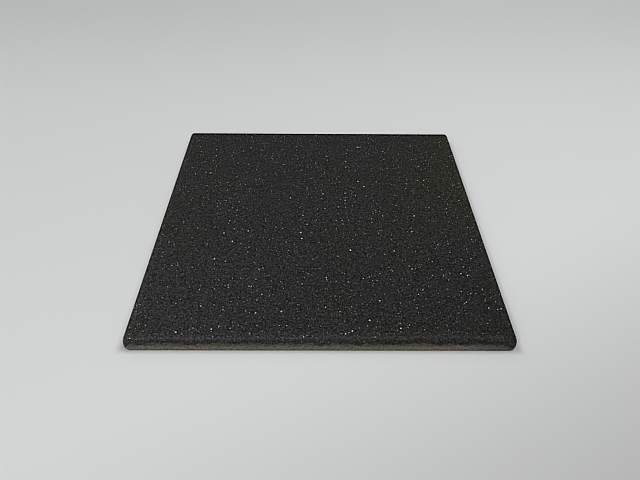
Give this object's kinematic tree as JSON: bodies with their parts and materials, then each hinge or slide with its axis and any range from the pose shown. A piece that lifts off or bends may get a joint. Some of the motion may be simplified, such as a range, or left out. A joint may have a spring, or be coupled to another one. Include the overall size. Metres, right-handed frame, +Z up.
{
  "type": "ceramic floor tile",
  "caption": "Square pressed ceramic floor tile with a speckled charcoal glaze, a soft cushion edge, rounded corners and a keyed back for adhesive.",
  "frame": {"origin": "middle of the back, on the plane that the tile beds or rests on", "axes": "+Z up through the wearing face, +X and +Y along the sides of the square"},
  "size_m": [0.2, 0.2, 0.0085],
  "materials": {
    "charcoal_glaze": "matte",
    "fired_clay": "matte"
  },
  "bodies": {
    "root": {"tile": "charcoal_glaze"}
  },
  "joints": []
}
